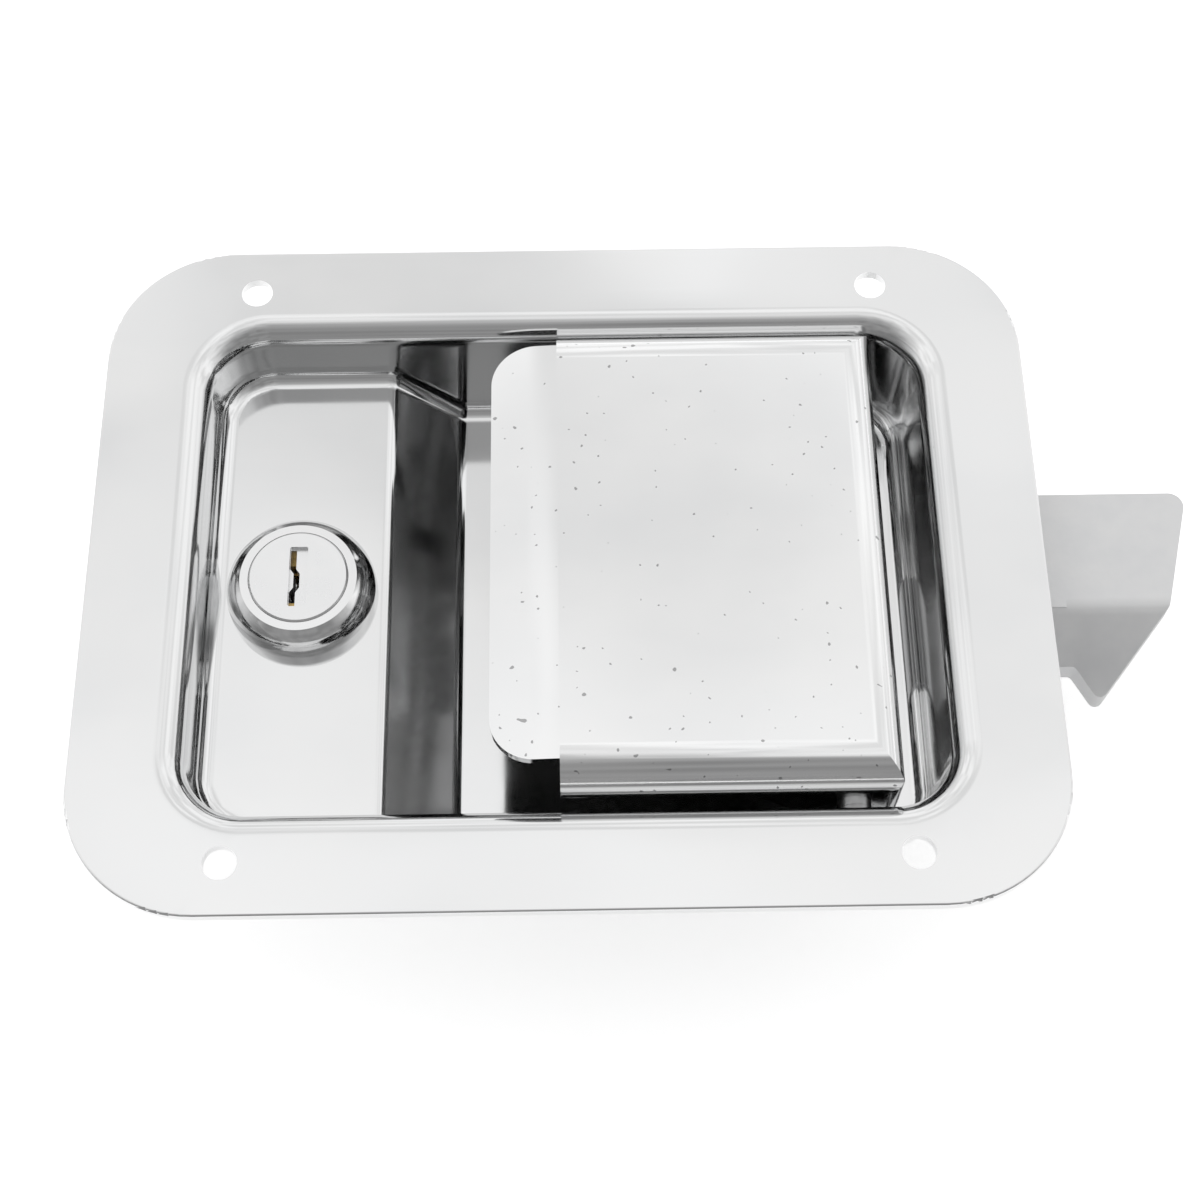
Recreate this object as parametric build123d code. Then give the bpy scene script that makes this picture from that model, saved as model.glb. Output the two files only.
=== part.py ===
from build123d import *
import os
from math import acos, atan, atan2, cos, degrees, hypot, pi, radians, sin, tan

os.makedirs("parts", exist_ok=True)

# Paddle latch, flush-mounted: a drawn pan, a lift-up paddle, a sliding slam bolt and a wafer lock.
# Frame: +X towards the bolt, +Y across, +Z out of the front of the panel, millimetres.
# Origin: centre of the flange's rear face, where the latch lies on its panel.
# Depths are counted down from the front face of the flange, so a positive depth is inside the panel.

# ---- pan
pan_length = 139.7
pan_width = 107.95
pan_corner_radius = 19.0
pan_sheet = 1.5
pan_edge_break = 0.4
shortest_border_edge = 10.0
screw_inset_x = 22.225
screw_inset_y = 7.575
screw_spacing_x = pan_length - 2 * screw_inset_x
screw_spacing_y = pan_width - 2 * screw_inset_y
screw_hole_diameter = 4.8
pocket_length = 108.5
pocket_width = 77.6
pocket_corner_radius = 9.0
pocket_depth = 21.5
wall_draft = 3.0
rim_bend_radius = 2.5
pocket_fillet = 2.5
shelf_depth = 11.6
shelf_length = 27.05
shelf_end_x = shelf_length - pocket_length / 2
ramp_run = 10.3
ramp_edge_radius = 2.5

# ---- paddle
paddle_sheet = 1.5
paddle_height = 4.0
paddle_width = 74.4
paddle_end_x = 46.5
paddle_side_bend = 6.0
paddle_end_bend = 4.5
paddle_corner_radius = 1.5
side_start_x = -1.2
side_depth = 8.0
hub_depth_below_pivot = 6.0
hub_half_length = 6.5
hub_slope = 7.0
end_flange_depth = 5.0
corner_slit = 0.8
lip_reach = 9.8
lip_width = 67.0
lip_corner_radius = 6.5
lip_curl_length = 8.0
lip_drop = 1.0
lip_curl_radius = 45.0

# ---- hinge
pivot_x = 40.3
pivot_depth = 8.0
pin_diameter = 4.76
pin_running_clearance = 0.05
pin_overhang = 2.4
retainer_diameter = 9.0
retainer_thickness = 0.8
retainer_gap = 0.25

# ---- trip lever, welded inside the paddle's end flange
lever_thickness = 1.9
lever_width = 18.6
lever_top_gap = 1.0
lever_tip_overrun = 1.5
lever_bend_radius = 1.5
lever_play = 0.35
slot_side_clearance = 0.6

# ---- bolt
bolt_stroke = 12.7
bolt_thickness = 3.0
bolt_gap = 2.0
bolt_width = 30.6
bolt_tail_x = -15.0
bolt_riser_x = 69.0
bolt_nose_depth = 12.0
bolt_nose_x = 95.6
bolt_bend_radius = 1.5
nose_low_y = -3.9
nose_lean = 5.0
ramp_angle = 40.0
ramp_tip_x = 80.7
ramp_tip_y = -15.5
ramp_notch_x = 76.6
ramp_notch_y = -11.1
ramp_fold_radius = 4.0
nose_corner_radius = 2.2
ramp_tip_radius = 1.4
notch_radius = 1.2
nose_join = 3.0

# ---- bolt spring, in a window of the bolt
bolt_spring_window_width = 7.2
bolt_spring_window_end = 20.0
bolt_spring_wire = 0.8
bolt_spring_diameter = 5.7
bolt_spring_turns = 9
bolt_spring_seat_gap = 0.1
spring_tab_x = -8.0
spring_tab_width = 5.6
spring_tab_top_gap = 1.2

# ---- guide bracket behind the pan
bracket_sheet = 1.5
bracket_gap = 0.3
bracket_start_x = -10.5
bracket_end_x = 52.0
bracket_foot_end_x = 46.5
bracket_foot_width = 12.4
bracket_bend_radius = 1.0
bracket_slot_clearance = 1.2
rivet_x = (2.0, 36.0)
rivet_diameter = 4.0
rivet_head_diameter = 7.2
rivet_head_height = 1.3

# ---- paddle spring, wound round the hinge pin
paddle_spring_wire = 1.2
paddle_spring_bore_clearance = 0.75
paddle_spring_whole_turns = 4
paddle_spring_pitch = 1.9
paddle_spring_start_y = -24.0
spring_floor_leg_x = 27.0
spring_paddle_leg_x = 25.0

# ---- lock
lock_from_wall = 14.35
lock_x = lock_from_wall - pocket_length / 2
collar_height = 5.5
collar_top_diameter = 17.4
collar_foot = 1.0
barrel_diameter = 18.8
collar_ledge = 1.85
collar_diameter = barrel_diameter + 2 * collar_ledge
barrel_flats = 16.0
barrel_length = 15.4
barrel_hole_clearance = 0.1
plug_face_diameter = 14.8
plug_face_proud = 0.25
plug_head_thickness = 2.0
plug_diameter = 12.0
plug_running_clearance = 0.06
plug_tail_square = 6.0
keyway_recess_width = 2.7
keyway_recess_height = 9.8
keyway_recess_depth = 0.7
keyway_width = 0.9
keyway_offset_x = -0.85
keyway_step = 0.55
keyway_depth = 15.0
wafer_count = 5
wafer_thickness = 1.0
wafer_pitch = 1.9
wafer_width = 7.0
wafer_height = 11.0
wafer_clearance = 0.05
wafer_window_width = 3.2
wafer_window_height = 6.2
wafer_shifts = (0.3, -0.3, 0.6, 0.0, -0.6)
first_wafer_depth = 3.4
wafer_spring_diameter = 0.7
wafer_spring_length = 3.2
lock_washer_thickness = 0.8
lock_washer_ring = 1.8
lock_washer_diameter = barrel_diameter + 2 * lock_washer_ring
lock_washer_teeth = 16
lock_nut_wall = 1.6
lock_nut_flats = barrel_diameter + 2 * lock_nut_wall
lock_nut_thickness = 4.5
thread_gap = 0.05

# ---- cam and its fixings
cam_length = 24.0
cam_width = 14.0
cam_thickness = 2.5
square_clearance = 0.05
stop_washer_inset = 0.4
stop_washer_diameter = barrel_diameter - 2 * stop_washer_inset
stop_washer_thickness = 1.3
stop_washer_gap = 0.1
stop_lug_height = 1.1
stop_lug_wall = 2.1
stop_lug_inner_radius = barrel_diameter / 2 - stop_lug_wall
stop_lug_angle = 70.0
stop_lug_middle = 225.0
stop_play_angle = 3.0
cam_swing = 90.0
cam_washer_diameter = 11.0
cam_washer_thickness = 0.9
cam_screw_diameter = 4.0
cam_screw_head_diameter = 8.4
cam_screw_head_height = 2.6
cam_screw_length = 8.0


def at(depth):
    """Height of a level that lies this deep below the flange's front face."""
    return pan_sheet - depth


# ---- levels and places that follow from the sizes above
pivot_z = at(pivot_depth)
paddle_top_z = at(-paddle_height)
pan_rear_z = at(pocket_depth + pan_sheet)
past_all = pan_length
bolt_top_z = pan_rear_z - bolt_gap
bolt_mid_z = bolt_top_z - bolt_thickness / 2
bolt_rear_z = bolt_top_z - bolt_thickness
bracket_top_z = bolt_rear_z - bracket_gap
bracket_rear_z = bracket_top_z - bracket_sheet
pin_radius = pin_diameter / 2
lever_drop = pivot_z - bolt_mid_z
lever_lean = atan(bolt_stroke / 2 / lever_drop)
lever_half = lever_thickness / 2 / cos(lever_lean)
window_half = lever_half + bolt_thickness / 2 * tan(lever_lean) + lever_play
shelf_z = at(shelf_depth)
shelf_rear_z = at(shelf_depth + pan_sheet)
barrel_end_z = shelf_z - barrel_length
plug_face_z = shelf_z + collar_height + plug_face_proud
stop_washer_top_z = barrel_end_z - stop_washer_gap
cam_top_z = stop_washer_top_z - stop_washer_thickness
cam_rear_z = cam_top_z - cam_thickness
cam_washer_rear_z = cam_rear_z - cam_washer_thickness


def outline(points, radii):
    """Closed flat shape with a rounding at each corner, 0 where the corner is sharp."""
    return make_face(FilletPolyline(*points, radius=radii, close=True))


def folded_sheet(points, radii, thickness):
    """Section of a folded sheet: the path is one surface, the sheet lies on its right-hand side."""
    return make_face(offset(FilletPolyline(*points, radius=radii), thickness, side=Side.RIGHT))


def along_y(section, low_y, high_y):
    """Solid of a section drawn in X and Z, from one Y to another."""
    return extrude(Plane.XZ.offset(-high_y) * section, high_y - low_y)


def along_x(section, low_x, high_x):
    """Solid of a section drawn in Y and Z, from one X to another."""
    return extrude(Plane.YZ.offset(low_x) * section, high_x - low_x)


def upright(shape, low_z, high_z):
    """Solid of a shape drawn in X and Y, from one height to another."""
    return extrude(Plane.XY.offset(low_z) * shape, high_z - low_z)


def block(low_x, high_x, low_y, high_y, low_z, high_z):
    """Rectangular block between six faces."""
    box = Box(high_x - low_x, high_y - low_y, high_z - low_z, align=(Align.MIN, Align.MIN, Align.MIN))
    return Pos(low_x, low_y, low_z) * box


def rod_along_y(x, z, radius, low_y, high_y):
    """Round bar parallel to Y."""
    return along_y(Pos(x, z) * Circle(radius), low_y, high_y)


def pocket(grow):
    """Space inside the pan's pocket, or its outside when grown by the sheet's thickness."""
    slope = atan2(pocket_depth - shelf_depth, ramp_run)
    shift = grow * tan(slope / 2)
    far = pocket_length
    floor_z = at(pocket_depth + grow)
    ledge_z = at(shelf_depth + grow)
    side = outline(
        [
            (-far, at(0)),
            (far, at(0)),
            (far, floor_z),
            (shelf_end_x + ramp_run - shift, floor_z),
            (shelf_end_x - shift, ledge_z),
            (-far, ledge_z),
        ],
        [0, 0, 0, pocket_fillet + grow, ramp_edge_radius - grow, 0],
    )
    mouth = RectangleRounded(pocket_length + 2 * grow, pocket_width + 2 * grow, pocket_corner_radius + grow)
    drawn = extrude(Plane.XY.offset(at(0)) * mouth, -2 * pocket_depth, taper=wall_draft)
    solid = drawn & along_y(side, -pocket_width, pocket_width)
    bottoms = [f for f in solid.faces() if f.center().Z < at(1) and abs(f.normal_at().Z) > 0.3]
    rim = [e for e in solid.edges() if sum(e in f.edges() for f in bottoms) == 1]
    return fillet(rim, pocket_fillet + grow)


def pocket_rim(solid, z):
    """The edges round the pocket's mouth at one height."""
    near = solid.edges().filter_by_position(Axis.Z, z - 0.01, z + 0.01)
    reach_x = pocket_length / 2 + 2 * pan_sheet
    reach_y = pocket_width / 2 + 2 * pan_sheet
    return [e for e in near if abs(e.center().X) < reach_x and abs(e.center().Y) < reach_y]


def double_flat(diameter, flats):
    """Round shape with two flats across Y."""
    return Circle(diameter / 2) & Rectangle(diameter * 2, flats)


def make_pan():
    """Drawn stainless pan: flange, shelf for the lock, ramp and deep floor."""
    flange = upright(RectangleRounded(pan_length, pan_width, pan_corner_radius), 0, pan_sheet)
    solid = flange + pocket(pan_sheet)
    solid = fillet(pocket_rim(solid, 0), rim_bend_radius)
    solid -= pocket(0)
    solid = fillet(pocket_rim(solid, at(0)), rim_bend_radius + pan_sheet)
    outer_edges = solid.edges().filter_by_position(Axis.Z, at(0) - 0.01, at(0) + 0.01)
    border = [e for e in outer_edges if e not in pocket_rim(solid, at(0)) and e.length > shortest_border_edge]
    border = [e for e in border if max(abs(e.center().X) / pan_length, abs(e.center().Y) / pan_width) > 0.43]
    solid = fillet(border, pan_edge_break)
    screw = upright(Circle(screw_hole_diameter / 2), -pan_sheet, 2 * pan_sheet)
    for place in GridLocations(screw_spacing_x, screw_spacing_y, 2, 2):
        solid -= place * screw
    solid -= rod_along_y(pivot_x, pivot_z, pin_radius, -pan_width, pan_width)
    slack = 2 * barrel_hole_clearance
    barrel_hole = double_flat(barrel_diameter + slack, barrel_flats + slack)
    solid -= Pos(lock_x, 0) * upright(barrel_hole, shelf_rear_z - pan_sheet, shelf_z + pan_sheet)
    slot_half = (pivot_z - pan_rear_z) * tan(lever_lean) + lever_half + lever_play
    slot = RectangleRounded(2 * slot_half, lever_width + 2 * slot_side_clearance, 1.0)
    solid -= Pos(pivot_x, 0) * upright(slot, pan_rear_z - pan_sheet, at(pocket_depth - pan_sheet))
    for x, y in rivet_places():
        solid -= Pos(x, y) * upright(Circle(rivet_diameter / 2), pan_rear_z - 1, at(pocket_depth - 1))
    return solid


def rivet_places():
    """Centres of the four bracket rivets, in the middle of the bracket's feet."""
    y = bolt_width / 2 + bracket_gap + bracket_sheet + bracket_foot_width / 2
    return [(x, side * y) for x in rivet_x for side in (-1, 1)]


def paddle_block(inset):
    """Outside of the paddle's folded box, or its inside when inset by the sheet's thickness."""
    low_z = pivot_z - 2 * pocket_depth
    half = paddle_width / 2 - inset
    top_z = paddle_top_z - inset
    end_x = paddle_end_x - inset
    start_x = side_start_x - inset
    side_bend = paddle_side_bend - inset
    end_bend = paddle_end_bend - inset
    corners = [(-half, low_z), (-half, top_z), (half, top_z), (half, low_z)]
    across = outline(corners, [0, side_bend, side_bend, 0])
    along = outline([(start_x, low_z), (start_x, top_z), (end_x, top_z), (end_x, low_z)], [0, 0, end_bend, 0])
    return along_x(across, start_x, end_x) & along_y(along, -half, half)


def make_paddle():
    """Folded stainless paddle: lip, top, two side flanges with hubs, rolled end flange."""
    solid = paddle_block(0) - paddle_block(paddle_sheet)
    far = 2 * pocket_depth
    wide = paddle_width / 2
    footprint = outline(
        [(side_start_x - 1, -wide), (paddle_end_x, -wide), (paddle_end_x, wide), (side_start_x - 1, wide)],
        [0, paddle_corner_radius, paddle_corner_radius, 0],
    )
    solid &= upright(footprint, pivot_z - far, far)
    hub_z = pivot_z - hub_depth_below_pivot
    side_z = at(side_depth)
    hub_start_x = pivot_x - hub_half_length
    below_sides = outline(
        [
            (side_start_x - 1, side_z),
            (hub_start_x - hub_slope, side_z),
            (hub_start_x, hub_z),
            (paddle_end_x + 1, hub_z),
            (paddle_end_x + 1, side_z - far),
            (side_start_x - 1, side_z - far),
        ],
        [0, 5.0, 5.0, 0, 0, 0],
    )
    solid -= along_y(below_sides, -paddle_width, paddle_width)
    inner_half = paddle_width / 2 - paddle_sheet
    end_in_x = paddle_end_x - paddle_sheet
    solid -= block(end_in_x, paddle_end_x + 1, -inner_half, inner_half, hub_z - 1, at(end_flange_depth))
    for low_y in (-inner_half, inner_half - corner_slit):
        slit = (end_in_x - corner_slit, paddle_end_x + 1, low_y, low_y + corner_slit)
        solid -= block(*slit, hub_z - 1, paddle_top_z - paddle_side_bend)
    lip_x = side_start_x - lip_reach
    half = lip_width / 2
    lip_path = [
        (lip_x, paddle_top_z - lip_drop),
        (lip_x + lip_curl_length, paddle_top_z),
        (paddle_end_x, paddle_top_z),
    ]
    plan = outline(
        [(lip_x, -half), (side_start_x, -half), (side_start_x, half), (lip_x, half)],
        [lip_corner_radius, 0, 0, lip_corner_radius],
    )
    lip = along_y(folded_sheet(lip_path, lip_curl_radius, paddle_sheet), -half, half)
    solid += lip & upright(plan, side_z, far)
    solid -= rod_along_y(pivot_x, pivot_z, pin_radius + pin_running_clearance, -pan_width, pan_width)
    return solid


def make_trip_lever():
    """Steel lever under the paddle's end: its leaning leg points straight at the hinge pin."""
    face_x = paddle_end_x - paddle_sheet
    reach = (face_x - pivot_x - lever_thickness / 2 * cos(lever_lean)) / sin(lever_lean)
    bend_z = pivot_z - reach * cos(lever_lean) + lever_thickness / 2 * sin(lever_lean)
    tip_z = bolt_rear_z - lever_tip_overrun
    tip_x = face_x + (bend_z - tip_z) * tan(lever_lean)
    path = [(face_x, paddle_top_z - paddle_end_bend - lever_top_gap), (face_x, bend_z), (tip_x, tip_z)]
    section = folded_sheet(path, lever_bend_radius, lever_thickness)
    return along_y(section, -lever_width / 2, lever_width / 2)


def wall_half_width(depth):
    """Half the pocket's outside width at a depth, where its long walls lean in."""
    return pocket_width / 2 + pan_sheet - depth * tan(radians(wall_draft))


def make_hinge_pin():
    """Plain pin through both walls of the pan and both flanges of the paddle."""
    end = wall_half_width(pivot_depth) + pin_overhang
    pin = rod_along_y(pivot_x, pivot_z, pin_radius, -end, end)
    return chamfer(pin.edges().filter_by(GeomType.CIRCLE), 0.4)


def make_pin_retainer(side):
    """Push-on retainer on one end of the hinge pin: a dished washer with three gripping slits."""
    near = wall_half_width(pivot_depth - retainer_diameter / 2) + retainer_gap
    low_y, high_y = sorted((side * near, side * (near + retainer_thickness)))
    disc = rod_along_y(pivot_x, pivot_z, retainer_diameter / 2, low_y, high_y)
    disc -= rod_along_y(pivot_x, pivot_z, pin_radius, low_y, high_y)
    for turn in (90, 210, 330):
        x = pivot_x + (pin_radius + 0.4) * cos(radians(turn))
        z = pivot_z + (pin_radius + 0.4) * sin(radians(turn))
        disc -= rod_along_y(x, z, 0.5, low_y, high_y)
    return disc


def make_bolt():
    """Slam bolt: slotted tail, riser and a nose whose lower part is folded back as the slam ramp."""
    half = bolt_width / 2
    tail_path = [
        (bolt_tail_x, bolt_top_z),
        (bolt_riser_x, bolt_top_z),
        (bolt_riser_x, at(bolt_nose_depth)),
        (bolt_nose_x, at(bolt_nose_depth)),
    ]
    radii = [bolt_bend_radius, bolt_bend_radius + bolt_thickness]
    section = folded_sheet(tail_path, radii, bolt_thickness)
    nose_start_x = bolt_riser_x + bolt_thickness
    tail_end_x = bolt_riser_x - bolt_bend_radius - bolt_thickness
    strap_room = block(-past_all, nose_start_x + nose_join, -half, half, -past_all, past_all)
    strap = along_y(section, nose_low_y, half) & strap_room
    tail_room = block(-past_all, tail_end_x, -half, half, -past_all, past_all)
    tail = along_y(section, -half, nose_low_y) & tail_room
    tilt = radians(ramp_angle)
    ramp_length = 1.5 * (nose_low_y - ramp_tip_y) / cos(tilt)
    nose_path = [
        (half, at(bolt_nose_depth)),
        (nose_low_y, at(bolt_nose_depth)),
        (nose_low_y - ramp_length * cos(tilt), at(bolt_nose_depth) - ramp_length * sin(tilt)),
    ]
    nose_section = folded_sheet(nose_path[::-1], ramp_fold_radius, bolt_thickness)
    nose = along_x(nose_section, nose_start_x, bolt_nose_x + 1)
    plan = outline(
        [
            (nose_start_x, half),
            (bolt_nose_x, half),
            (bolt_nose_x - nose_lean, nose_low_y),
            (ramp_tip_x, ramp_tip_y),
            (ramp_notch_x, ramp_notch_y),
            (nose_start_x, ramp_notch_y),
        ],
        [0, nose_corner_radius, 1.0, ramp_tip_radius, notch_radius, 0],
    )
    nose &= upright(plan, -50, 50)
    solid = strap + tail + nose
    window_x = pivot_x + bolt_stroke / 2
    lever_window = Rectangle(2 * window_half, lever_width + 2 * lever_play)
    solid -= Pos(window_x, 0) * upright(lever_window, bolt_rear_z - 1, bolt_top_z + 1)
    window_start_x = spring_tab_x - 3
    length = bolt_spring_window_end - window_start_x
    spring_window = RectangleRounded(length, bolt_spring_window_width, 0.8)
    solid -= Pos(window_start_x + length / 2, 0) * upright(spring_window, bolt_rear_z - 1, bolt_top_z + 1)
    return solid


def make_bracket():
    """Hat-shaped steel guide behind the pan, with a lanced tab that holds one end of the spring."""
    inner = bolt_width / 2 + bracket_gap
    foot = inner + bracket_sheet + bracket_foot_width
    path = [
        (-foot, pan_rear_z),
        (-inner, pan_rear_z),
        (-inner, bracket_top_z),
        (inner, bracket_top_z),
        (inner, pan_rear_z),
        (foot, pan_rear_z),
    ]
    outer = bracket_bend_radius + bracket_sheet
    radii = [outer, bracket_bend_radius, bracket_bend_radius, outer]
    solid = along_x(folded_sheet(path, radii, bracket_sheet), bracket_start_x, bracket_end_x)
    for side in (-1, 1):
        low_y, high_y = sorted((side * (inner + bracket_sheet), side * (foot + 1)))
        solid -= block(bracket_foot_end_x, bracket_end_x + 1, low_y, high_y, bracket_rear_z, pan_rear_z + 1)
    tab_end_x = spring_tab_x + bracket_sheet
    slot_length = bolt_spring_window_end + bracket_slot_clearance - tab_end_x
    slot = Rectangle(slot_length, bolt_spring_window_width)
    solid -= Pos(tab_end_x + slot_length / 2, 0) * upright(slot, bracket_rear_z - 1, bracket_top_z + 1)
    tip_x = (pivot_z - bolt_rear_z + lever_tip_overrun) * tan(lever_lean) + lever_half + bracket_slot_clearance
    tip_slot = RectangleRounded(2 * tip_x, lever_width + 2 * slot_side_clearance, 1.0)
    solid -= Pos(pivot_x, 0) * upright(tip_slot, bracket_rear_z - 1, bracket_top_z + 1)
    half_tab = spring_tab_width / 2
    tab_top_z = pan_rear_z - spring_tab_top_gap
    solid += block(spring_tab_x, tab_end_x, -half_tab, half_tab, bracket_rear_z, tab_top_z)
    for x, y in rivet_places():
        solid -= Pos(x, y) * upright(Circle(rivet_diameter / 2), pan_rear_z - 5, pan_rear_z + 1)
    return solid


def make_rivet(x, y):
    """One round-head rivet through the pan's floor and a foot of the bracket."""
    floor_z = at(pocket_depth)
    low_z = pan_rear_z - bracket_sheet
    half = rivet_head_diameter / 2
    sphere_radius = (half ** 2 + rivet_head_height ** 2) / (2 * rivet_head_height)
    ball = Sphere(sphere_radius)
    clear = rivet_head_diameter
    front_room = block(-clear, clear, -clear, clear, floor_z, floor_z + clear)
    front = Pos(0, 0, floor_z + rivet_head_height - sphere_radius) * ball & front_room
    rear_room = block(-clear, clear, -clear, clear, low_z - clear, low_z)
    rear = Pos(0, 0, low_z - rivet_head_height + sphere_radius) * ball & rear_room
    shank = upright(Circle(rivet_diameter / 2), low_z, floor_z)
    return Pos(x, y) * (front + shank + rear)


def make_bolt_spring():
    """Compression spring between the bracket's tab and the end of the bolt's window."""
    start_x = spring_tab_x + bracket_sheet + bolt_spring_seat_gap + bolt_spring_wire / 2
    end_x = bolt_spring_window_end - bolt_spring_seat_gap - bolt_spring_wire / 2
    radius = (bolt_spring_diameter - bolt_spring_wire) / 2
    length = end_x - start_x
    pitch = length / bolt_spring_turns
    middle = (start_x, 0, bolt_mid_z)
    coil = Helix(pitch, length, radius, center=middle, direction=(1, 0, 0))
    return sweep(Plane(coil @ 0, z_dir=coil % 0) * Circle(bolt_spring_wire / 2), path=coil)


def tangent_angle(x, z, radius, side):
    """Angle round the pin, in degrees, where a line from a point touches the coil."""
    away = hypot(x - pivot_x, z - pivot_z)
    return degrees(atan2(z - pivot_z, x - pivot_x) + side * acos(radius / away))


def leg_length(x, z, radius):
    """Length of the straight line from a point to where it touches the coil."""
    return (hypot(x - pivot_x, z - pivot_z) ** 2 - radius ** 2) ** 0.5


def make_paddle_spring():
    """Torsion spring round the hinge pin: one leg on the pan's floor, the other under the paddle."""
    wire = paddle_spring_wire / 2
    radius = pin_radius + paddle_spring_bore_clearance + wire
    floor_leg = (spring_floor_leg_x, at(pocket_depth) + wire)
    paddle_leg = (spring_paddle_leg_x, paddle_top_z - paddle_sheet - wire)
    start_angle = tangent_angle(*floor_leg, radius, 1)
    end_angle = tangent_angle(*paddle_leg, radius, -1)
    turned = paddle_spring_whole_turns * 360 + (end_angle - start_angle) % 360
    height = paddle_spring_pitch * turned / 360
    coil = Helix(paddle_spring_pitch, height, radius, lefthand=True)
    flat_share = cos(atan(paddle_spring_pitch / (2 * pi * radius)))
    floor_end = coil @ 0 - coil % 0 * (leg_length(*floor_leg, radius) / flat_share)
    paddle_end = coil @ 1 + coil % 1 * (leg_length(*paddle_leg, radius) / flat_share)
    path = Wire([Line(floor_end, coil @ 0).edge(), coil.edge(), Line(coil @ 1, paddle_end).edge()])
    solid = sweep(Plane(floor_end, z_dir=coil % 0) * Circle(wire), path=path)
    spin = Plane(origin=(pivot_x, paddle_spring_start_y, pivot_z), x_dir=(1, 0, 0), z_dir=(0, 1, 0))
    return spin * (Rot(0, 0, -start_angle) * solid)


def lathe(points, x):
    """Turned piece: a closed profile of radii and heights, spun about the lock's axis."""
    return Pos(x, 0) * revolve(Plane.XZ * make_face(Polyline(*points, close=True)), Axis.Z)


def make_lock_housing():
    """Die-cast lock body: domed chrome collar, double-flat threaded barrel and a cam stop lug."""
    top = shelf_z + collar_height
    foot_z = shelf_z + collar_foot
    rim_radius = collar_diameter / 2
    top_radius = collar_top_diameter / 2
    with BuildPart() as body:
        with BuildSketch(Plane.XZ):
            with BuildLine():
                Line((0, shelf_z), (rim_radius, shelf_z))
                Line((rim_radius, shelf_z), (rim_radius, foot_z))
                dome = TangentArc((rim_radius, foot_z), (top_radius + 0.5, top - 0.4), tangent=(0, 1))
                TangentArc(dome @ 1, (top_radius, top), tangent=dome % 1)
                Line((top_radius, top), (0, top))
                Line((0, top), (0, shelf_z))
            make_face()
        revolve(axis=Axis.Z)
    solid = body.part + upright(double_flat(barrel_diameter, barrel_flats), barrel_end_z, shelf_z)
    head_bore = Circle(plug_face_diameter / 2 + plug_running_clearance)
    solid -= upright(head_bore, plug_face_z - plug_head_thickness - plug_running_clearance, top + 1)
    bore_radius = plug_diameter / 2 + plug_running_clearance
    solid -= upright(Circle(bore_radius), barrel_end_z - 1, top)
    lug = double_flat(barrel_diameter, barrel_flats) - Circle(stop_lug_inner_radius)
    sector = stop_sector(stop_lug_angle, stop_lug_middle)
    solid += upright(lug & sector, barrel_end_z - stop_lug_height, barrel_end_z)
    return Pos(lock_x, 0) * solid


def stop_sector(angle, middle):
    """Pie slice about the lock's axis, wider than any piece of the lock."""
    far = 3 * barrel_diameter
    edge = radians(angle / 2)
    start = (far * cos(edge), -far * sin(edge))
    end = (far * cos(edge), far * sin(edge))
    border = [Line((0, 0), start), ThreePointArc(start, (far, 0), end), Line(end, (0, 0))]
    return Rot(0, 0, middle) * make_face(border)


def wafer_depths():
    """Depth below the plug's face of each wafer's front side."""
    return [first_wafer_depth + i * wafer_pitch for i in range(wafer_count)]


def make_lock_plug():
    """Plug: round face with a recessed keyway, five wafer slots and a square tail for the cam."""
    head_z = plug_face_z - plug_head_thickness
    solid = upright(Circle(plug_face_diameter / 2), head_z, plug_face_z)
    solid = chamfer(solid.edges().filter_by(GeomType.CIRCLE).sort_by(Axis.Z)[-1], 0.25)
    solid += upright(Circle(plug_diameter / 2), barrel_end_z, head_z)
    solid += upright(Rectangle(plug_tail_square, plug_tail_square), cam_rear_z + 0.2, barrel_end_z)
    recess = RectangleRounded(keyway_recess_width, keyway_recess_height, 0.3)
    solid -= upright(recess, plug_face_z - keyway_recess_depth, plug_face_z + 1)
    solid -= upright(keyway_shape(), plug_face_z - keyway_depth, plug_face_z)
    gap = wafer_clearance
    for depth in wafer_depths():
        high_z = plug_face_z - depth + gap
        low_z = plug_face_z - depth - wafer_thickness - gap
        solid -= upright(Rectangle(wafer_width + 2 * gap, 2 * plug_diameter), low_z, high_z)
    solid -= upright(Circle(cam_screw_diameter / 2), cam_rear_z - 1, cam_rear_z + cam_screw_length)
    return Pos(lock_x, 0) * solid


def keyway_shape():
    """Narrow stepped key channel on the left of the recess."""
    half = keyway_recess_height / 2 - 0.3
    left = keyway_offset_x - keyway_width / 2
    right = keyway_offset_x + keyway_width / 2
    step = keyway_step
    points = [
        (left, half),
        (right, half),
        (right, half / 3),
        (right + step, half / 6),
        (right + step, -half / 3),
        (right, -half / 2),
        (right, -half),
        (left, -half),
        (left, -half / 2),
        (left + step, -half / 3),
        (left + step, half / 6),
        (left, half / 3),
    ]
    return make_face(Polyline(*points, close=True))


def make_wafer(number):
    """One wafer: a brass leaf across the plug, with the key window at its own height."""
    high_z = plug_face_z - wafer_depths()[number]
    leaf = Circle(plug_diameter / 2 - wafer_clearance) & Rectangle(wafer_width, wafer_height)
    leaf -= Pos(0, wafer_shifts[number]) * Rectangle(wafer_window_width, wafer_window_height)
    nick = Pos(wafer_width / 2 - wafer_spring_diameter, 0)
    leaf -= nick * Rectangle(wafer_spring_diameter * 1.4, wafer_spring_length + 0.1)
    return Pos(lock_x, 0) * upright(leaf, high_z - wafer_thickness, high_z)


def make_wafer_spring(number):
    """Fine spring beside a wafer's window, as a plain closed cylinder of its outer size."""
    middle_z = plug_face_z - wafer_depths()[number] - wafer_thickness / 2
    x = lock_x + wafer_width / 2 - wafer_spring_diameter
    half = wafer_spring_length / 2
    return rod_along_y(x, middle_z, wafer_spring_diameter / 2, -half, half)


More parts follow.
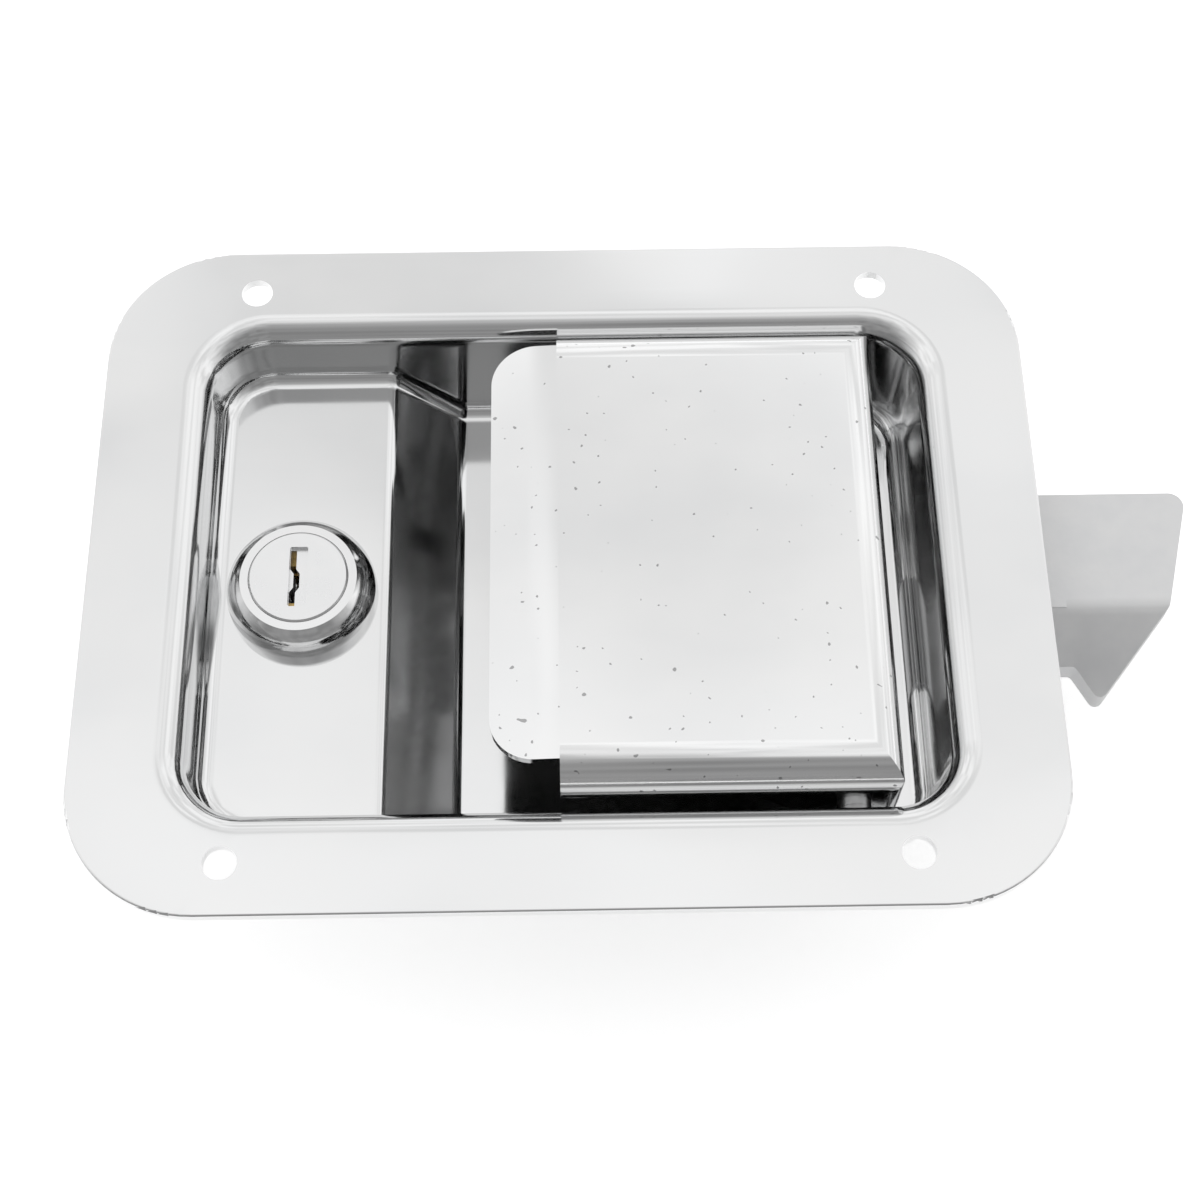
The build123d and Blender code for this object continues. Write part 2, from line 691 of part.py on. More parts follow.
def make_lock_washer():
    """External-tooth washer between the pan and the nut."""
    rim = lock_washer_diameter / 2
    ring = Circle(rim) - double_flat(barrel_diameter + 2 * thread_gap, barrel_diameter)
    for i in range(lock_washer_teeth):
        ring -= Rot(0, 0, (i + 0.5) * 360 / lock_washer_teeth) * Pos(rim, 0) * Circle(0.6)
    return Pos(lock_x, 0) * upright(ring, shelf_rear_z - lock_washer_thickness, shelf_rear_z)


def make_lock_nut():
    """Hexagon nut that clamps the lock to the shelf, flats towards the ramp."""
    high_z = shelf_rear_z - lock_washer_thickness
    hexagon = Rot(0, 0, 30) * RegularPolygon(lock_nut_flats / 2, 6, major_radius=False)
    solid = upright(hexagon, high_z - lock_nut_thickness, high_z)
    corner = lock_nut_flats / 2 / cos(pi / 6)
    crown = lathe([(0, high_z), (corner, high_z), (corner, high_z - lock_nut_thickness + 1),
                   (corner - 1.6, high_z - lock_nut_thickness), (0, high_z - lock_nut_thickness)], 0)
    solid &= crown
    solid -= upright(Circle(barrel_diameter / 2 + thread_gap), high_z - lock_nut_thickness, high_z)
    return Pos(lock_x, 0) * solid


def square_hole():
    """Square hole that slips over the plug's tail."""
    side = plug_tail_square + 2 * square_clearance
    return Rectangle(side, side)


def make_stop_washer():
    """Washer keyed on the plug's tail; its cut-out swings past the housing's lug and stops on it."""
    disc = Circle(stop_washer_diameter / 2) - square_hole()
    opening = stop_lug_angle + cam_swing + 2 * stop_play_angle
    ring = Circle(stop_washer_diameter) - Circle(stop_lug_inner_radius - 0.2)
    disc -= ring & stop_sector(opening, stop_lug_middle + cam_swing / 2)
    return Pos(lock_x, 0) * upright(disc, cam_top_z, stop_washer_top_z)


def make_cam():
    """Flat cam on the plug's tail, at rest turned away from the bolt."""
    nose = Pos(0, cam_length / 2 - cam_width / 4) * Rectangle(cam_width, cam_length - cam_width / 2)
    shape = Circle(cam_width / 2 + 1) + nose + Pos(0, cam_length - cam_width / 2) * Circle(cam_width / 2)
    return Pos(lock_x, 0) * upright(shape - square_hole(), cam_rear_z, cam_top_z)


def make_cam_washer():
    """Split spring washer under the screw's head."""
    ring = Circle(cam_washer_diameter / 2) - Circle(cam_screw_diameter / 2 + 0.3)
    ring -= Pos(cam_washer_diameter / 2, 0) * Rectangle(cam_washer_diameter, 0.8)
    return Pos(lock_x, 0) * upright(ring, cam_washer_rear_z, cam_rear_z)


def make_cam_screw():
    """Pan-head screw into the plug's tail, with a cross recess."""
    head = Circle(cam_screw_head_diameter / 2)
    solid = upright(head, cam_washer_rear_z - cam_screw_head_height, cam_washer_rear_z)
    low_edge = solid.edges().filter_by(GeomType.CIRCLE).sort_by(Axis.Z)[0]
    solid = fillet(low_edge, 1.2)
    end_z = cam_rear_z + cam_screw_length - 1
    solid += upright(Circle(cam_screw_diameter / 2), cam_washer_rear_z, end_z)
    for turn in (0, 90):
        cross = Rot(0, 0, turn) * Rectangle(4.6, 1.0)
        solid -= upright(cross, cam_washer_rear_z - cam_screw_head_height - 1, cam_washer_rear_z - 1.2)
    return Pos(lock_x, 0) * solid


pieces = {
    "pan": make_pan(),
    "paddle": make_paddle(),
    "trip_lever": make_trip_lever(),
    "hinge_pin": make_hinge_pin(),
    "pin_retainer_upper": make_pin_retainer(1),
    "pin_retainer_lower": make_pin_retainer(-1),
    "paddle_spring": make_paddle_spring(),
    "bolt": make_bolt(),
    "bolt_guide_bracket": make_bracket(),
    "bracket_rivets": Compound([make_rivet(x, y) for x, y in rivet_places()]),
    "bolt_spring": make_bolt_spring(),
    "lock_housing": make_lock_housing(),
    "lock_plug": make_lock_plug(),
    "wafer_springs": Compound([make_wafer_spring(i) for i in range(wafer_count)]),
    "lock_washer": make_lock_washer(),
    "lock_nut": make_lock_nut(),
    "cam_stop_washer": make_stop_washer(),
    "cam": make_cam(),
    "cam_spring_washer": make_cam_washer(),
    "cam_screw": make_cam_screw(),
}
for number in range(wafer_count):
    pieces[f"wafer_{number + 1}"] = make_wafer(number)

for name, piece in pieces.items():
    export_step(piece, f"parts/{name}.step")
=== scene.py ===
import math

import bmesh
import bpy
import numpy as np
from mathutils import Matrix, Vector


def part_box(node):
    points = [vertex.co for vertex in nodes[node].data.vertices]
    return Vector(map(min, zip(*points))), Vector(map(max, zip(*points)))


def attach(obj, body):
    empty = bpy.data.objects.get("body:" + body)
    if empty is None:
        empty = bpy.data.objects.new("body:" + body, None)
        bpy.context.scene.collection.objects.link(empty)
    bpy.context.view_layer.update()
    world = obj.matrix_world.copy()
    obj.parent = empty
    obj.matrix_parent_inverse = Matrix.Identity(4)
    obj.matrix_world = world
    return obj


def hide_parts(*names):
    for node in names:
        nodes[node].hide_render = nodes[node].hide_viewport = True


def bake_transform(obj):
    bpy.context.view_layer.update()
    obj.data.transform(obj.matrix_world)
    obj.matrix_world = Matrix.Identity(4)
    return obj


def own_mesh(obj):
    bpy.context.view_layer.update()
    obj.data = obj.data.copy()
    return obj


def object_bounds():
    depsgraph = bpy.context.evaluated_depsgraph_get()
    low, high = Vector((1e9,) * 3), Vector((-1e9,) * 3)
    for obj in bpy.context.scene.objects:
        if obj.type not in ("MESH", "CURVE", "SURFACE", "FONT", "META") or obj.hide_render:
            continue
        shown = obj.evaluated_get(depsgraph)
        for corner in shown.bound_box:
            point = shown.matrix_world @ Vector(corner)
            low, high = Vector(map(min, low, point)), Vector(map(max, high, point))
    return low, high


# The frame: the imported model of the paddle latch, in metres, with its
# origin in the middle of the flange's rear face, the bolt along +X and
# the front of the latch towards +Z.
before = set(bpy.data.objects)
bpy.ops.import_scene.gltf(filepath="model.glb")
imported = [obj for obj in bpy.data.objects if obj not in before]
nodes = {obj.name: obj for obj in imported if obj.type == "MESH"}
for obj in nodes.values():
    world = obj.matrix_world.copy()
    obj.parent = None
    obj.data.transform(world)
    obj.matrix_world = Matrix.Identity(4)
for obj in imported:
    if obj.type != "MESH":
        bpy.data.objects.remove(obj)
cad_low, cad_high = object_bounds()


# ---------------------------------------------------------------------
# The camera: a long lens above the latch and a little towards its near
# side, as someone who stands in front of a bench sees it.
lens_length = 62.41
eye = (0.00252, -0.13936, 0.27088)
tilt_from_straight_down = math.radians(26.084)
roll = math.radians(-0.934)

camera_data = bpy.data.cameras.new("camera")
camera_data.lens = lens_length
camera_data.sensor_width = 36.0
camera_data.clip_start = 0.01
camera_data.clip_end = 10.0
camera = bpy.data.objects.new("camera", camera_data)
camera.location = eye
camera.rotation_euler = (tilt_from_straight_down, math.radians(-0.015), roll)
bpy.context.scene.collection.objects.link(camera)
bpy.context.scene.camera = camera


# ---------------------------------------------------------------------
# The floor and the light: a white bench top under the latch, a soft lamp
# over it, and a pale uneven room that is darker behind the viewer, where
# polished steel finds its grey bands. The bench is clear from below.
floor_half = 3.0
floor_gap = 0.002
floor_tone = 0.86
floor_lift = 0.52
floor_roughness = 0.9


def new_material(name):
    """An empty node material, with its tree and its Principled shader."""
    material = bpy.data.materials.new(name)
    material.use_nodes = True
    tree = material.node_tree
    return material, tree, tree.nodes["Principled BSDF"]


def surface_grid(name, points, close_u=False, close_v=False):
    """A mesh over an array of points [u, v, 3]: each grid cell is one
    quad, turned so that the u direction crossed with v points outwards."""
    rows, columns = points.shape[:2]
    index = np.arange(rows * columns).reshape(rows, columns)
    if close_u:
        index = np.vstack([index, index[:1]])
    if close_v:
        index = np.hstack([index, index[:, :1]])
    corners = [index[:-1, :-1], index[1:, :-1], index[1:, 1:], index[:-1, 1:]]
    faces = np.stack(corners, axis=-1).reshape(-1, 4)
    mesh = bpy.data.meshes.new(name)
    mesh.from_pydata(points.reshape(-1, 3).tolist(), [], faces.tolist())
    mesh.polygons.foreach_set("use_smooth", np.ones(len(faces), bool))
    piece = bpy.data.objects.new(name, mesh)
    bpy.context.scene.collection.objects.link(piece)
    return piece


floor_z = cad_low.z - floor_gap
floor_side = np.linspace(-floor_half, floor_half, 3)
floor_x, floor_y = np.meshgrid(floor_side, floor_side, indexing="ij")
floor = surface_grid("floor", np.stack([floor_x, floor_y, np.full_like(floor_x, floor_z)], -1))

floor_paint, tree, shader = new_material("white_bench")
shader.inputs["Base Color"].default_value = (floor_tone, floor_tone, floor_tone, 1)
shader.inputs["Roughness"].default_value = floor_roughness
shader.inputs["Specular IOR Level"].default_value = 0.0
light_path = tree.nodes.new("ShaderNodeLightPath")
glow = tree.nodes.new("ShaderNodeEmission")
seen = tree.nodes.new("ShaderNodeMath")
seen.operation = "MAXIMUM"
glow_strength = tree.nodes.new("ShaderNodeMath")
glow_strength.operation = "MULTIPLY"
glow_strength.inputs[1].default_value = floor_lift
tree.links.new(light_path.outputs["Is Camera Ray"], seen.inputs[0])
tree.links.new(light_path.outputs["Is Glossy Ray"], seen.inputs[1])
tree.links.new(seen.outputs[0], glow_strength.inputs[0])
tree.links.new(glow_strength.outputs[0], glow.inputs["Strength"])
both = tree.nodes.new("ShaderNodeAddShader")
tree.links.new(shader.outputs[0], both.inputs[0])
tree.links.new(glow.outputs[0], both.inputs[1])
side = tree.nodes.new("ShaderNodeNewGeometry")
clear_from_below = tree.nodes.new("ShaderNodeBsdfTransparent")
one_sided = tree.nodes.new("ShaderNodeMixShader")
tree.links.new(side.outputs["Backfacing"], one_sided.inputs[0])
tree.links.new(both.outputs[0], one_sided.inputs[1])
tree.links.new(clear_from_below.outputs[0], one_sided.inputs[2])
tree.links.new(one_sided.outputs[0], tree.nodes["Material Output"].inputs["Surface"])
floor.data.materials.append(floor_paint)

bpy.context.scene.view_settings.view_transform = "Standard"

room_bright = 1.10
room_dim = 0.34
dim_from = -0.62
bright_from = 0.12
panel_scale = 5.0
panel_low = 0.82
panel_high = 1.08
noise_low = 0.35
noise_high = 0.65
white = (1, 1, 1, 1)
world = bpy.data.worlds.new("pale_room")
bpy.context.scene.world = world
world.use_nodes = True
tree = world.node_tree
direction = tree.nodes.new("ShaderNodeTexCoord")
split = tree.nodes.new("ShaderNodeSeparateXYZ")
tree.links.new(direction.outputs["Generated"], split.inputs[0])
shade = tree.nodes.new("ShaderNodeMapRange")
shade.interpolation_type = "SMOOTHSTEP"
shade.inputs["From Min"].default_value = dim_from
shade.inputs["From Max"].default_value = bright_from
shade.inputs["To Min"].default_value = room_dim
shade.inputs["To Max"].default_value = room_bright
tree.links.new(split.outputs["Y"], shade.inputs["Value"])
panels = tree.nodes.new("ShaderNodeTexNoise")
panels.inputs["Scale"].default_value = panel_scale
panels.inputs["Detail"].default_value = 1.0
uneven = tree.nodes.new("ShaderNodeMapRange")
uneven.inputs["From Min"].default_value = noise_low
uneven.inputs["From Max"].default_value = noise_high
uneven.inputs["To Min"].default_value = panel_low
uneven.inputs["To Max"].default_value = panel_high
room = tree.nodes.new("ShaderNodeMath")
room.operation = "MULTIPLY"
tree.links.new(direction.outputs["Generated"], panels.inputs["Vector"])
tree.links.new(panels.outputs["Fac"], uneven.inputs["Value"])
tree.links.new(shade.outputs[0], room.inputs[0])
tree.links.new(uneven.outputs[0], room.inputs[1])
camera_sees = tree.nodes.new("ShaderNodeLightPath")
plain = tree.nodes.new("ShaderNodeMix")
plain.inputs["B"].default_value = 1.0
tree.links.new(camera_sees.outputs["Is Camera Ray"], plain.inputs["Factor"])
tree.links.new(room.outputs[0], plain.inputs["A"])
tree.links.new(plain.outputs["Result"], tree.nodes["Background"].inputs["Strength"])
tree.nodes["Background"].inputs["Color"].default_value = white

lamp_length = 0.5
lamp_width = 0.22
lamp_watts = 0.9
lamp_place = (-0.25, 0.55, 0.75)
lamp_lean = math.radians(-36)
lamp_roll = math.radians(-15)
lamp_data = bpy.data.lights.new("overhead_lamp", "AREA")
lamp_data.shape = "RECTANGLE"
lamp_data.size = lamp_length
lamp_data.size_y = lamp_width
lamp_data.energy = lamp_watts
lamp = bpy.data.objects.new("overhead_lamp", lamp_data)
lamp.location = lamp_place
lamp.rotation_euler = (lamp_lean, lamp_roll, 0)
lamp.visible_glossy = False
bpy.context.scene.collection.objects.link(lamp)


# ---------------------------------------------------------------------
# The pan: 1.5 mm stainless sheet, blanked, pierced and drawn into a
# dished tray with a raised shelf for the lock. Bright rolled finish,
# with the soft smears and hairline scratches of a handled part.
steel_tone = 0.76
facet_join = 2e-6
pan_wave_depth = 0.00035
pan_grain_depth = 0.0000020


def smooth_cad(piece, split_angle=32.0):
    """Merges the loose triangles of a CAD piece at their shared corners,
    splits them where they meet at more than the angle, and shades the
    rest by area, so flats stay flat and bends run smoothly."""
    weld = piece.modifiers.new("join_facets", "WELD")
    weld.merge_threshold = facet_join
    crisp = piece.modifiers.new("crisp_edges", "EDGE_SPLIT")
    crisp.split_angle = math.radians(split_angle)
    shading = piece.modifiers.new("even_shading", "WEIGHTED_NORMAL")
    shading.keep_sharp = False
    shading.mode = "FACE_AREA_WITH_ANGLE"
    shading.weight = 80
    for polygon in piece.data.polygons:
        polygon.use_smooth = True


def dress(piece, material):
    """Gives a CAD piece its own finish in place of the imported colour."""
    if not piece.data.materials:
        piece.data.materials.append(material)
    for slot in piece.material_slots:
        slot.link = "OBJECT"
        slot.material = material


def noise(tree, scale, detail=3.0, stretch=(1, 1, 1), rough=0.5, turn=(0, 0, 0)):
    """A noise pattern in the piece's own coordinates, stretched along its
    axes; scale is in features per metre."""
    place = tree.nodes.new("ShaderNodeTexCoord")
    mapping = tree.nodes.new("ShaderNodeMapping")
    mapping.inputs["Scale"].default_value = stretch
    mapping.inputs["Rotation"].default_value = turn
    pattern = tree.nodes.new("ShaderNodeTexNoise")
    pattern.inputs["Scale"].default_value = scale
    pattern.inputs["Detail"].default_value = detail
    pattern.inputs["Roughness"].default_value = rough
    tree.links.new(place.outputs["Object"], mapping.inputs["Vector"])
    tree.links.new(mapping.outputs[0], pattern.inputs["Vector"])
    return pattern.outputs["Fac"]


def between(tree, value, low, high, from_low=0.3, from_high=0.7):
    """Carries a pattern's value from one span to another."""
    span = tree.nodes.new("ShaderNodeMapRange")
    span.inputs["From Min"].default_value = from_low
    span.inputs["From Max"].default_value = from_high
    span.inputs["To Min"].default_value = low
    span.inputs["To Max"].default_value = high
    tree.links.new(value, span.inputs["Value"])
    return span.outputs[0]


def tint(tree, value, dark, light, from_low=0.3, from_high=0.7):
    """A colour that runs from dark to light with a pattern's value."""
    ramp = tree.nodes.new("ShaderNodeValToRGB")
    ramp.color_ramp.elements[0].position = from_low
    ramp.color_ramp.elements[1].position = from_high
    ramp.color_ramp.elements[0].color = (*dark, 1)
    ramp.color_ramp.elements[1].color = (*light, 1)
    tree.links.new(value, ramp.inputs[0])
    return ramp.outputs[0]


def bump(tree, shader, *layers):
    """Stacks patterns as height, each with its own depth in metres."""
    previous = None
    for value, depth in layers:
        relief = tree.nodes.new("ShaderNodeBump")
        relief.inputs["Distance"].default_value = depth
        tree.links.new(value, relief.inputs["Height"])
        if previous is not None:
            tree.links.new(previous, relief.inputs["Normal"])
        previous = relief.outputs[0]
    tree.links.new(previous, shader.inputs["Normal"])


def bright_sheet(name, tone, waviness, scratch, speck=0.0):
    """Bright rolled stainless: long waves left by drawing, fine grain
    along X, smears in the gloss and, where it is handled, small specks."""
    material, tree, shader = new_material(name)
    smear = noise(tree, 34.0, 4.0, (1.0, 1.6, 1.0))
    grain = noise(tree, 900.0, 2.0, (0.05, 1.0, 1.0))
    wave = noise(tree, 26.0, 1.0)
    shade = (tone * 0.955, tone * 0.96, tone * 0.965)
    colour = tint(tree, smear, shade, (tone, tone, tone * 0.998))
    if speck:
        spots = noise(tree, 1100.0, 0.0, (1, 1, 1), 0.4)
        dots = tint(tree, spots, (0.48, 0.48, 0.48), (1, 1, 1), speck, speck + 0.02)
        mix = tree.nodes.new("ShaderNodeMix")
        mix.data_type = "RGBA"
        mix.blend_type = "MULTIPLY"
        mix.inputs["Factor"].default_value = 1.0
        tree.links.new(colour, mix.inputs["A"])
        tree.links.new(dots, mix.inputs["B"])
        colour = mix.outputs["Result"]
    tree.links.new(colour, shader.inputs["Base Color"])
    shader.inputs["Metallic"].default_value = 1.0
    tree.links.new(between(tree, smear, 0.07, 0.15), shader.inputs["Roughness"])
    bump(tree, shader, (wave, waviness), (grain, scratch))
    return material


pan_steel = bright_sheet("drawn_stainless", steel_tone, pan_wave_depth, pan_grain_depth)
dress(nodes["pan"], pan_steel)
smooth_cad(nodes["pan"])


# ---------------------------------------------------------------------
# The hinge pin and its two retainers: a plain ground steel pin through
# the pan's walls, with a push-on steel disc on each end.
def turned_steel(name, tone, grain_scale, low=0.20, high=0.34):
    """Plain steel from the lathe or the grinder: fine even grain, a
    faint mottle of oil and slightly uneven gloss."""
    material, tree, shader = new_material(name)
    mottle = noise(tree, 260.0, 4.0)
    grain = noise(tree, grain_scale, 2.0, (1, 0.08, 1))
    dark = (tone * 0.84, tone * 0.84, tone * 0.85)
    tree.links.new(tint(tree, mottle, dark, (tone, tone, tone)), shader.inputs["Base Color"])
    shader.inputs["Metallic"].default_value = 1.0
    tree.links.new(between(tree, mottle, low, high), shader.inputs["Roughness"])
    bump(tree, shader, (grain, 0.000004))
    return material


pin_finish = turned_steel("ground_pin_steel", 0.60, 2400.0)
for name in ("hinge_pin", "pin_retainer_upper", "pin_retainer_lower"):
    dress(nodes[name], pin_finish)
    smooth_cad(nodes[name])


# ---------------------------------------------------------------------
# The paddle: 1.5 mm stainless, blanked and folded on three sides, with
# a curled lip for the fingers. Its underside carries the trip lever,
# a plain steel bar that is welded in and works the bolt.
paddle_tone = 0.82
paddle_wave_depth = 0.00022
paddle_grain_depth = 0.0000012
paddle_speck_share = 0.18
paddle_steel = bright_sheet(
    "paddle_stainless", paddle_tone, paddle_wave_depth, paddle_grain_depth, paddle_speck_share
)
dress(nodes["paddle"], paddle_steel)
smooth_cad(nodes["paddle"])

lever_finish = turned_steel("zinc_lever_steel", 0.62, 1500.0, 0.28, 0.42)
dress(nodes["trip_lever"], lever_finish)
smooth_cad(nodes["trip_lever"])


# ---------------------------------------------------------------------
# The bolt: 3 mm steel, blanked with its ramp and notch, folded down at
# the nose and plated in clear zinc, which dries in a fine matt spangle.
def clear_zinc(name, tone, spangle_scale):
    """Clear zinc on steel: small soft-edged grains of lighter and darker
    grey, matt, with a faint blue cast and rubbed streaks."""
    material, tree, shader = new_material(name)
    place = tree.nodes.new("ShaderNodeTexCoord")
    grains = tree.nodes.new("ShaderNodeTexVoronoi")
    grains.feature = "SMOOTH_F1"
    grains.inputs["Scale"].default_value = spangle_scale
    grains.inputs["Smoothness"].default_value = 0.4
    tree.links.new(place.outputs["Object"], grains.inputs["Vector"])
    cloud = noise(tree, 150.0, 4.0)
    rub = noise(tree, 800.0, 2.0, (0.05, 1, 1))
    dark = (tone * 0.90, tone * 0.905, tone * 0.915)
    tree.links.new(tint(tree, cloud, dark, (tone, tone, tone)), shader.inputs["Base Color"])
    shader.inputs["Metallic"].default_value = 0.35
    tree.links.new(between(tree, cloud, 0.42, 0.58), shader.inputs["Roughness"])
    bump(tree, shader, (grains.outputs["Distance"], 0.000012), (rub, 0.000004))
    return material


bolt_zinc = clear_zinc("bolt_clear_zinc", 0.76, 900.0)
dress(nodes["bolt"], bolt_zinc)
smooth_cad(nodes["bolt"])


# ---------------------------------------------------------------------
# The guide bracket behind the pan: 1.5 mm zinc-plated sheet in a hat
# section, held to the pan by four round-headed rivets.
bracket_zinc = clear_zinc("bracket_clear_zinc", 0.66, 700.0)
dress(nodes["bolt_guide_bracket"], bracket_zinc)
smooth_cad(nodes["bolt_guide_bracket"])

rivet_finish = turned_steel("rivet_steel", 0.64, 1800.0, 0.22, 0.36)
dress(nodes["bracket_rivets"], rivet_finish)
smooth_cad(nodes["bracket_rivets"])


# ---------------------------------------------------------------------
# The lock: a domed die-cast housing plated in bright chrome, held from
# behind by a toothed washer and a flat nut.
def bright_plate(name, tone, low, high):
    """Chrome or nickel plate: a deep even gloss with faint swirl marks
    from the polishing wheel and a little haze."""
    material, tree, shader = new_material(name)
    haze = noise(tree, 180.0, 3.0)
    swirl = noise(tree, 1400.0, 2.0, (1, 0.2, 1))
    dark = (tone * 0.95, tone * 0.955, tone * 0.96)
    tree.links.new(tint(tree, haze, dark, (tone, tone, tone)), shader.inputs["Base Color"])
    shader.inputs["Metallic"].default_value = 1.0
    tree.links.new(between(tree, haze, low, high), shader.inputs["Roughness"])
    bump(tree, shader, (swirl, 0.0000012))
    return material


lock_chrome = bright_plate("lock_bright_chrome", 0.78, 0.06, 0.14)
dress(nodes["lock_housing"], lock_chrome)
smooth_cad(nodes["lock_housing"])

nut_nickel = bright_plate("nut_nickel", 0.66, 0.18, 0.30)
for name in ("lock_nut", "lock_washer"):
    dress(nodes[name], nut_nickel)
    smooth_cad(nodes[name])


# ---------------------------------------------------------------------
# The plug and what turns with it: a nickel-faced zinc plug with brass
# wafers on small springs, and the cam stack on its square tail.
plug_nickel = bright_plate("plug_satin_nickel", 0.80, 0.24, 0.36)
dress(nodes["lock_plug"], plug_nickel)
smooth_cad(nodes["lock_plug"])

# Stamped brass: the turned finish with its mottle in two browns.
dull_brass = (0.58, 0.40, 0.15)
clean_brass = (0.70, 0.50, 0.21)
wafer_brass = turned_steel("wafer_brass", 0.60, 1600.0)
tree = wafer_brass.node_tree
brass_colour = tint(tree, noise(tree, 300.0, 3.0), dull_brass, clean_brass)
tree.links.new(brass_colour, tree.nodes["Principled BSDF"].inputs["Base Color"])
wafers = [name for name in nodes if name.startswith("wafer_") and name != "wafer_springs"]
for name in wafers:
    dress(nodes[name], wafer_brass)
dress(nodes["wafer_springs"], pin_finish)

cam_zinc = clear_zinc("cam_clear_zinc", 0.64, 800.0)
for name in ("cam", "cam_stop_washer"):
    dress(nodes[name], cam_zinc)
    smooth_cad(nodes[name])
for name in ("cam_spring_washer", "cam_screw"):
    dress(nodes[name], rivet_finish)
    smooth_cad(nodes[name])


# ---------------------------------------------------------------------
# The two springs: the bolt's compression spring behind the pan, and
# the paddle's torsion spring on the hinge pin, both of drawn spring
# wire with a thin oil film.
wire_steel = turned_steel("spring_wire", 0.42, 2600.0, 0.22, 0.36)
wire_sides = 14
cap_share = 0.72


def drawn_wire(name, path, thickness):
    """Round wire along a path [n, 3]: at each point a ring of the wire's
    radius lies across the path, between a sideways direction, square to
    both the path and a fixed slanting axis, and the third direction. Two
    smaller rings at each end shrink to the centre and close the cut."""
    along = np.gradient(path, axis=0)
    along /= np.linalg.norm(along, axis=1, keepdims=True)
    slanting = np.array([0.123, 0.456, 0.881])
    sideways = np.cross(along, slanting)
    sideways /= np.linalg.norm(sideways, axis=1, keepdims=True)
    third = np.cross(along, sideways)
    turn = np.linspace(0, 2 * np.pi, wire_sides, endpoint=False)
    ring = sideways[:, None] * np.cos(turn)[None, :, None] + third[:, None] * np.sin(turn)[None, :, None]
    points = path[:, None] + ring * thickness / 2
    caps = np.array([0.0, cap_share]) * thickness / 2
    first = path[0] + ring[0] * caps[:, None, None]
    last = path[-1] + ring[-1] * caps[::-1, None, None]
    points = np.concatenate([first, points, last])
    piece = surface_grid(name, points, close_v=True)
    close_up(piece)
    return piece


def close_up(piece):
    """Merges doubled points and turns every face outwards."""
    mesh = bmesh.new()
    mesh.from_mesh(piece.data)
    bmesh.ops.remove_doubles(mesh, verts=mesh.verts, dist=1e-7)
    bmesh.ops.recalc_face_normals(mesh, faces=mesh.faces)
    mesh.to_mesh(piece.data)
    mesh.free()


bolt_wire = 0.0008
bolt_coil_turns = 9.0
closed_turns = 1.0
closed_play = 1.04
steps_per_turn = 36
spring_low, spring_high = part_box("bolt_spring")
coil_radius = (spring_high.y - spring_low.y - bolt_wire) / 2
coil_middle = (spring_high.z + spring_low.z) / 2
coil_start = spring_low.x + bolt_wire / 2
coil_length = spring_high.x - spring_low.x - bolt_wire

# The turn grows evenly along the wire; the advance along X is the wire's
# own thickness per turn in the closed end turns and even between them.
turns = np.linspace(0, bolt_coil_turns, int(bolt_coil_turns * steps_per_turn) + 1)
closed_advance = closed_turns * bolt_wire * closed_play
advance = np.interp(
    turns,
    [0, closed_turns, bolt_coil_turns - closed_turns, bolt_coil_turns],
    [0, closed_advance, coil_length - closed_advance, coil_length],
)
swing = 2 * np.pi * turns
coil_path = np.stack([
    coil_start + advance,
    coil_radius * np.cos(swing),
    coil_middle + coil_radius * np.sin(swing),
], axis=1)
bolt_coil = drawn_wire("bolt_compression_spring", coil_path, bolt_wire)
bolt_coil.data.materials.append(wire_steel)
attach(bolt_coil, "pan")
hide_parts("bolt_spring")
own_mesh(bolt_coil)

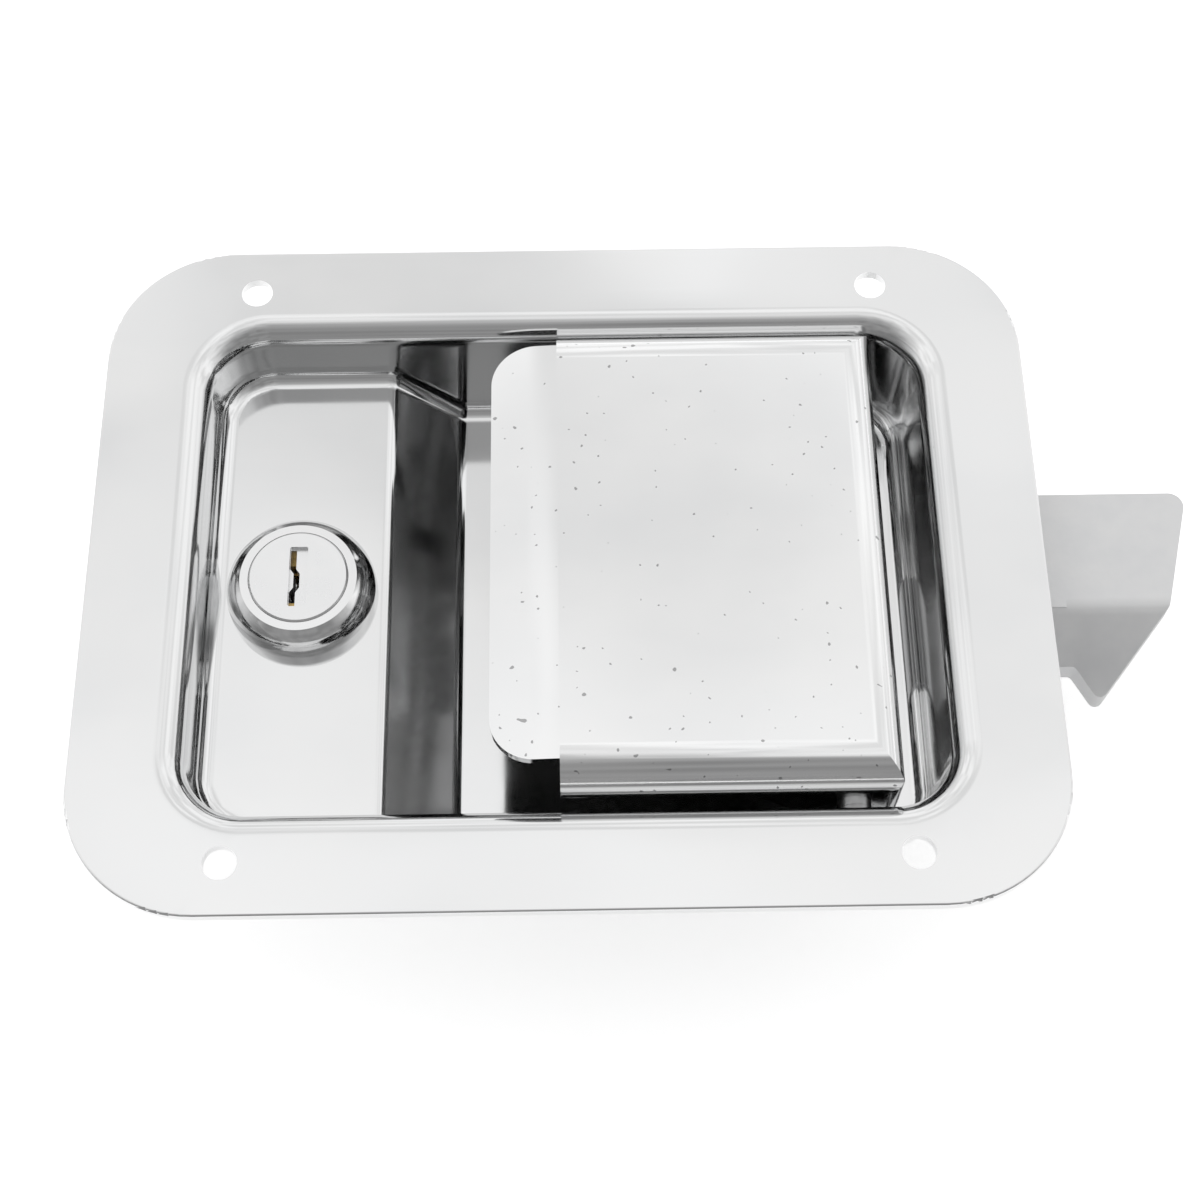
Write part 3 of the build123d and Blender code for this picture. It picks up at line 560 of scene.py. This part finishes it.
# The torsion spring: a coil round the hinge pin, left-handed, with a
# straight leg at each end along the coil's own tangent. One leg lies on
# the pan's floor and the other under the paddle.
hinge_wire = 0.0012
hinge_bore = 0.00075
hinge_pitch = 0.0019
hinge_whole_turns = 4
leg_steps = 12
pin_low, pin_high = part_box("hinge_pin")
hinge_x = (pin_low.x + pin_high.x) / 2
hinge_z = (pin_low.z + pin_high.z) / 2
hinge_radius = (pin_high.x - pin_low.x + hinge_wire) / 2 + hinge_bore
hinge_low, hinge_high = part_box("paddle_spring")
leg_reach_floor = 0.0270
leg_reach_paddle = 0.0250
floor_leg_z = hinge_low.z + hinge_wire / 2
paddle_leg_z = hinge_high.z - hinge_wire / 2


def touch_angle(x, z, side):
    """The angle round the pin where a line from (x, z) touches the coil:
    the point's own angle, plus or minus the arc cosine of the radius over
    the point's distance."""
    distance = math.hypot(x - hinge_x, z - hinge_z)
    return math.atan2(z - hinge_z, x - hinge_x) + side * math.acos(hinge_radius / distance)


start_turn = touch_angle(leg_reach_floor, floor_leg_z, 1)
end_turn = touch_angle(leg_reach_paddle, paddle_leg_z, -1)
wound = hinge_whole_turns * 2 * np.pi + (end_turn - start_turn) % (2 * np.pi)
rise = hinge_pitch / (2 * np.pi)
coil_y = -0.0240


def leg_run(x, z):
    """The straight distance from (x, z) to where it touches the coil, by
    Pythagoras on the point's distance and the coil's radius."""
    return math.sqrt((x - hinge_x) ** 2 + (z - hinge_z) ** 2 - hinge_radius**2)


def wound_point(angle, beyond):
    """A point on the coil at an angle past the start of its turns, moved
    beyond the coil along the tangent there, so beyond is 0 on the coil."""
    turn = start_turn + angle
    return np.stack([
        hinge_x + hinge_radius * np.cos(turn) - beyond * np.sin(turn),
        coil_y + rise * angle + beyond * rise / hinge_radius,
        hinge_z + hinge_radius * np.sin(turn) + beyond * np.cos(turn),
    ], axis=1)


angle = np.linspace(0, wound, int(wound / (2 * np.pi) * steps_per_turn))
floor_run = leg_run(leg_reach_floor, floor_leg_z)
paddle_run = leg_run(leg_reach_paddle, paddle_leg_z)
floor_beyond = np.linspace(-floor_run, 0, leg_steps, endpoint=False)
paddle_beyond = np.linspace(paddle_run, 0, leg_steps, endpoint=False)[::-1]
hinge_path = np.concatenate([
    wound_point(np.zeros_like(floor_beyond), floor_beyond),
    wound_point(angle, np.zeros_like(angle)),
    wound_point(np.full_like(paddle_beyond, wound), paddle_beyond),
])
hinge_coil = drawn_wire("paddle_torsion_spring", hinge_path, hinge_wire)
hinge_coil.data.materials.append(wire_steel)
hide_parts("paddle_spring")
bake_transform(hinge_coil)
